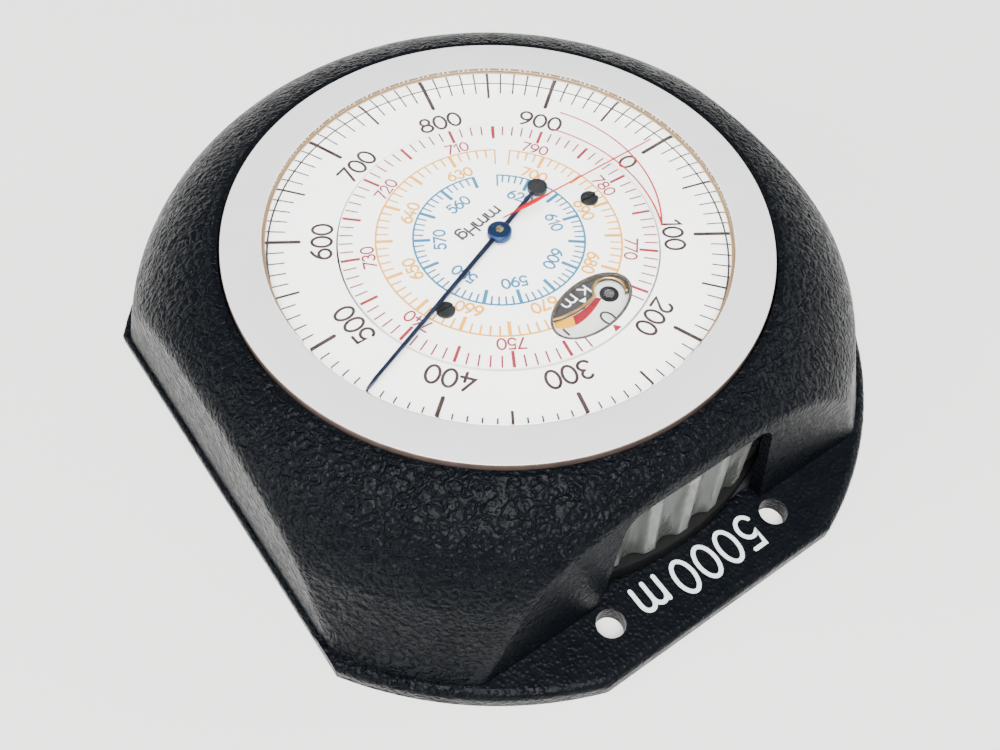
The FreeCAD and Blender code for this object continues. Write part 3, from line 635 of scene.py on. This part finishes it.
BLUE_END = pressure_at(555) % 360
blue = scale(556, 624, range(560, 630, 10), BLUE_R, 1.05, 1.75, 6.1, 1.15, (0.20, 0.38, 0.23))
blue.circle(BLUE_R, 0.22, BLUE_END - 360, 236.3)
for at, width in ((236.3, 0.2), (BLUE_END, 0.36)):
    blue.tick(at, 8.88, 7.2, width, 3)
blue.make("pressure_scale_blue", INK_BLUE, "case", "pressure_dial")

unit = Print(PRESSURE_Z)
unit.text("mmHg", polar(2.67, 282.8), 1.3, 101.4, 0.26, 1.25)
unit.make("pressure_unit", INK_BLACK, "case", "pressure_dial")

# ---------------------------------------------------------------- kilometre window

u = polar(1, WINDOW_AT)
v = np.array([-u[1], u[0]])
centre = polar(WINDOW_R, WINDOW_AT)


def oval(grow, steps=72):
    return [centre + (WINDOW_SHORT + grow) * math.cos(t) * u + (WINDOW_LONG + grow) * math.sin(t) * v
            for t in np.linspace(0, 2 * math.pi, steps + 1)]


lining = []
RIM_PROFILE = (
    (0.25, PRESSURE_Z + 0.004), (0.2, PRESSURE_Z + 0.03), (0.0, PRESSURE_Z + 0.03),
    (-0.05, PRESSURE_Z - 0.02), (-0.05, MASK_Z + 0.002),
)
for grow, z in RIM_PROFILE:
    lining += [(p[0], p[1], z) for p in oval(grow)[:-1]]
turns = len(lining) // len(RIM_PROFILE)
window_rim = add_mesh("window_rim", lining, [
    (k * turns + i, k * turns + (i + 1) % turns, (k + 1) * turns + (i + 1) % turns, (k + 1) * turns + i)
    for k in range(len(RIM_PROFILE) - 1) for i in range(turns)], INK_EDGE, "case", True)
sharpen(window_rim, 40)

mask = Print(MASK_Z)
mask.text("k", (-3.3, 10.2), 1.45, WINDOW_AT, 0.17, 1.2)
mask.text("m", (-1.2, 10.45), 1.45, WINDOW_AT, 0.17, 1.2)
mask.triangle((-2.45, 11.4), (-2.0, 10.83), (-2.88, 10.83))
mask.make("window_unit", INK_WHITE, "case", "mask_paint")


def bead(name, points, width, height, z, material, body, closed=False):
    """A low rounded rim following a path on a face."""
    p = np.array(points, float)
    ahead = np.gradient(p, axis=0)
    if closed:
        p = p[:-1]
        ahead = np.roll(p, -1, 0) - np.roll(p, 1, 0)
    ahead = ahead / np.linalg.norm(ahead, axis=1)[:, None]
    side = np.stack([-ahead[:, 1], ahead[:, 0]], 1)
    verts = []
    turns = np.linspace(0, math.pi, 9)
    for q, s in zip(p, side):
        for t in turns:
            e = q + s * (width / 2 * math.cos(t))
            verts.append((e[0], e[1], z + height * math.sin(t)))
    k = len(turns)
    faces = []
    n = len(p)
    for i in range(n if closed else n - 1):
        j = (i + 1) % n
        for m in range(k - 1):
            faces.append((i * k + m, j * k + m, j * k + m + 1, i * k + m + 1))
    if not closed:
        faces.append(tuple(range(k)))
        faces.append(tuple(reversed(range((n - 1) * k, n * k))))
    obj = add_mesh(name, verts, faces, material, body, True)
    return obj


PIVOT = np.array([-5.4, 11.5])
NOTCH_R = 1.55
BOW = (-0.9, 3.45, 8.3)     # the mask's bowed edge
bow = [p for p in arc(BOW[0], BOW[1], BOW[2] - 0.14, BOW[2] - 0.14, 66.5, 120, 40)
       if math.dist(p, PIVOT) > NOTCH_R + 0.14]
first = math.degrees(math.atan2(bow[-1][1] - PIVOT[1], bow[-1][0] - PIVOT[0]))
notch = arc(*PIVOT, NOTCH_R + 0.16, NOTCH_R + 0.16, first - 6, -216, 30)
gilt = metal("gilt_edge", (0.36, 0.19, 0.045), (0.70, 0.46, 0.17), 0.34, 3.0, 0.004)
bead("mask_rim", bow + notch, 0.30, 0.12, MASK_Z - 0.01, gilt, "case")


def through(a, b, c, steps=20):
    """A smooth curve through three points."""
    a, b, c = (np.array(q, float) for q in (a, b, c))
    pull = 2 * b - (a + c) / 2
    return curve(a, pull, c, steps)


def turned_about(points, degrees):
    t = math.radians(degrees)
    m = np.array([[math.cos(t), -math.sin(t)], [math.sin(t), math.cos(t)]])
    return [m @ (np.array(q) - PIVOT) + PIVOT for q in points]


BAND_IN = through((1.3, 11.25), (-1.2, 11.7), (-4.0, 11.1), 31)
BAND_OUT = through((1.6, 11.95), (-0.8, 12.75), (-4.45, 11.5), 31)
BAND_INKS = (INK_RED, INK_ORANGE, INK_BLUE, INK_BLACK)
for step in range(3):
    halves = ((slice(12, 23 if step else 31), BAND_INKS[step]), (slice(0, 13), BAND_INKS[step + 1]))
    for part, colour in halves:
        strip = Print(DISC_Z)
        strip.band(turned_about(BAND_IN[part], -60 * step), turned_about(BAND_OUT[part], -60 * step))
        strip.make(f"disc_band_{step}_{part.start}", colour, "kilometre", "kilometre_paint")
figures = Print(DISC_Z)
for km in range(5):
    at = turned_about([(-3.45, 13.85)], -60 * km)[0]
    figures.text(str(km), at, 1.75, WINDOW_AT - 60 * km, 0.25)
    mark = turned_about([(1.02, 13.3), (1.1, 12.5)], -60 * km)
    figures.stroke(mark, 0.25, layer=1)
figures.make("disc_figures", INK_BLACK, "kilometre", "kilometre_paint")

# ---------------------------------------------------------------- marks on the crystal

INNER_ARC = (1.3, 1.3, 16.93, 214.2, 152.4)     # centre, radius and directions of the crescent's sides
OUTER_ARC = (-1.55, -1.25, 15.96, 212.2, 139.6)
guide = Print(CRYSTAL_Z)
outer_end = polar(20.7, ZERO_AT) + polar(0.35, ZERO_AT - 90)
inner_end = polar(0.9, ZERO_AT) + polar(0.5, ZERO_AT + 90)
guide.stroke([outer_end, inner_end], 0.2, layer=0)
r_axis = polar(1, ZERO_AT)
s_axis = polar(1, ZERO_AT + 90)
spindle = np.linspace(2.0, 7.0, 25)
slant = 0.5 - 0.85 * (spindle - 0.9) / 19.8     # the line is not quite radial
half = 0.27 * np.sin(np.linspace(0, math.pi, 25)) ** 0.7
guide.band([r_axis * r + s_axis * (c + h) for r, c, h in zip(spindle, slant, half)],
           [r_axis * r + s_axis * (c - h) for r, c, h in zip(spindle, slant, half)], layer=1)
for layer, (x, y, radius, start, end) in enumerate((INNER_ARC, OUTER_ARC)):
    guide.stroke(arc(x, y, radius, radius, start, end, 60), 0.2, layer=2 + layer)
guide.make("crystal_marks", INK_CRYSTAL, "setting", "crystal")

# ---------------------------------------------------------------- range marked on the lug

lug = Print(LUG_Z)
for figure, x in (("5", -7.1), ("0", -4.2), ("0", -1.3), ("0", 1.6)):
    lug.text(figure, (x, 35.35), 3.6, 90, 0.46, 0.86)
lug.text("m", (5.75, 33.5 + 1.93), 3.86, 90, 0.48, 0.84)
lug.make("lug_figures", INK_WHITE, "case", "housing_plastic")

# ---------------------------------------------------------------- setting ring, bezel and crystal

KNURL_R = 32.0
FLUTES = 48
FLUTE_DEPTH = 0.7
FLUTE_SHARE = 0.68          # of each pitch, the rest is rib
SLANT = math.tan(math.radians(5))


def fluted(a, r, z):
    if r < 31.0:
        return r
    turn = (a + SLANT * (z - 10.0) / KNURL_R) * FLUTES / (2 * math.pi)
    t = (turn - math.floor(turn) - 0.5) / (FLUTE_SHARE / 2)
    return r - (FLUTE_DEPTH * (1 - t * t) if abs(t) < 1 else 0.0)


knurl = [(32.0 - 0.25 * (1 - math.sin(math.radians(q))), 4.0 + 0.25 * (1 - math.cos(math.radians(q))))
         for q in (0, 30, 60, 90)]
wall = [(32.0, z) for z in np.linspace(4.6, 15.3, 12)]
crown = [(32.0 - 0.25 * (1 - math.cos(math.radians(q))), 15.65 + 0.25 * math.sin(math.radians(q)))
         for q in (0, 30, 60, 90)]
ring_loop = [(29.4, 4.0)] + knurl + wall + crown + [
    (27.2, 15.9), (27.2, 19.02), (27.1, 19.1), (26.0, 19.1), (26.0, 17.7), (21.5, 17.7),
    (21.5, 16.9), (26.0, 16.9), (26.0, 13.5), (29.4, 13.5)]
rib_share = []
for k in range(48 * 22):
    turn = k / 22.0
    rib_share += [(turn + SLANT * (z - 10.0) / KNURL_R * FLUTES / (2 * math.pi)) % 1.0 for _, z in ring_loop]
ring = lathe("fluted_setting_ring", ring_loop, MATERIALS["ring_plastic"], "setting", 48 * 22, fluted)
# the "rib" attribute marks the ribs, so that ring_plastic can paint shade into the flutes between them
layer = ring.data.attributes.new("rib", "FLOAT", "POINT")
layer.data.foreach_set("value", [1.0 if abs(t - 0.5) > FLUTE_SHARE / 2 + 0.02 else 0.0 for t in rib_share])
sharpen(ring, 40)
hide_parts("setting_ring")

bezel = lathe("turned_bezel", bevelled([
    (23.8, 18.2, 0), (25.9, 18.2, 0.05), (25.9, 19.15, 0.02), (27.9, 19.15, 0.12), (27.9, 20.4, 0.14),
    (23.8, 20.4, 0.14)], 0.1, 5), MATERIALS["bezel_metal"], "setting", 320)
sharpen(bezel, 50)
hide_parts("bezel")

# the loops just inside the rim keep both faces' normals upright, so that the pane doesn't act as a lens
crystal_loop = bevelled([
    (0.01, CRYSTAL_UNDER_Z, 0), (FLAT_R, CRYSTAL_UNDER_Z, 0), (CRYSTAL_R, CRYSTAL_UNDER_Z, 0.05),
    (CRYSTAL_R, CRYSTAL_Z, 0.2), (FLAT_R, CRYSTAL_Z, 0), (0.01, CRYSTAL_Z, 0),
], 0.1, 4)
crystal = lathe("polished_crystal", crystal_loop, MATERIALS["crystal"], "setting", 256)
sharpen(crystal, 50)
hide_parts("crystal")

# ---------------------------------------------------------------- floor, light and camera

floor_look = Look("pale_floor", (0.92, 0.90, 0.88), 0.85)
mottle = floor_look.noise(0.02, 3.0, 0.5)
floor_look.colour(floor_look.tint(mottle, (0.95, 0.938, 0.915), (0.98, 0.968, 0.945)))
floor_mesh = bpy.data.meshes.new("floor")
floor_mesh.from_pydata([(-3, -3, 0), (3, -3, 0), (3, 3, 0), (-3, 3, 0)], [], [(0, 1, 2, 3)])
floor = bpy.data.objects.new("floor", floor_mesh)
floor_mesh.materials.append(floor_look.material)
bpy.context.scene.collection.objects.link(floor)

world = bpy.data.worlds.new("studio")
bpy.context.scene.world = world
world.use_nodes = True
world.node_tree.nodes["Background"].inputs["Color"].default_value = (0.93, 0.96, 1.0, 1.0)
world.node_tree.nodes["Background"].inputs["Strength"].default_value = 0.30


def lamp(name, place, target, size, watts, colour=(1, 1, 1)):
    light = bpy.data.lights.new(name, "AREA")
    light.shape = "DISK"
    light.size = size
    light.energy = watts
    light.color = colour
    obj = bpy.data.objects.new(name, light)
    obj.location = place
    aim = Vector(target) - Vector(place)
    obj.rotation_euler = aim.to_track_quat("-Z", "Y").to_euler()
    bpy.context.scene.collection.objects.link(obj)


lamp("overhead", (0.20, 0.24, 0.72), (0, 0, 0), 0.60, 18.0)
lamp("side", (-0.62, 0.20, 0.30), (0, 0, 0), 0.35, 2.0)
lamp("low", (0.60, -0.15, 0.28), (0, 0, 0), 0.35, 3.0, (1.0, 0.98, 0.95))

camera_data = bpy.data.cameras.new("camera")
camera_data.sensor_width = 36.0
camera_data.lens = 39.3617
camera_data.clip_start = 0.005
camera = bpy.data.objects.new("camera", camera_data)
camera.location = (0.0456582, 0.0596608, 0.1026828)
camera.rotation_euler = [math.radians(a) for a in (34.557869, -1.966465, 144.718072)]
bpy.context.scene.collection.objects.link(camera)
bpy.context.scene.camera = camera
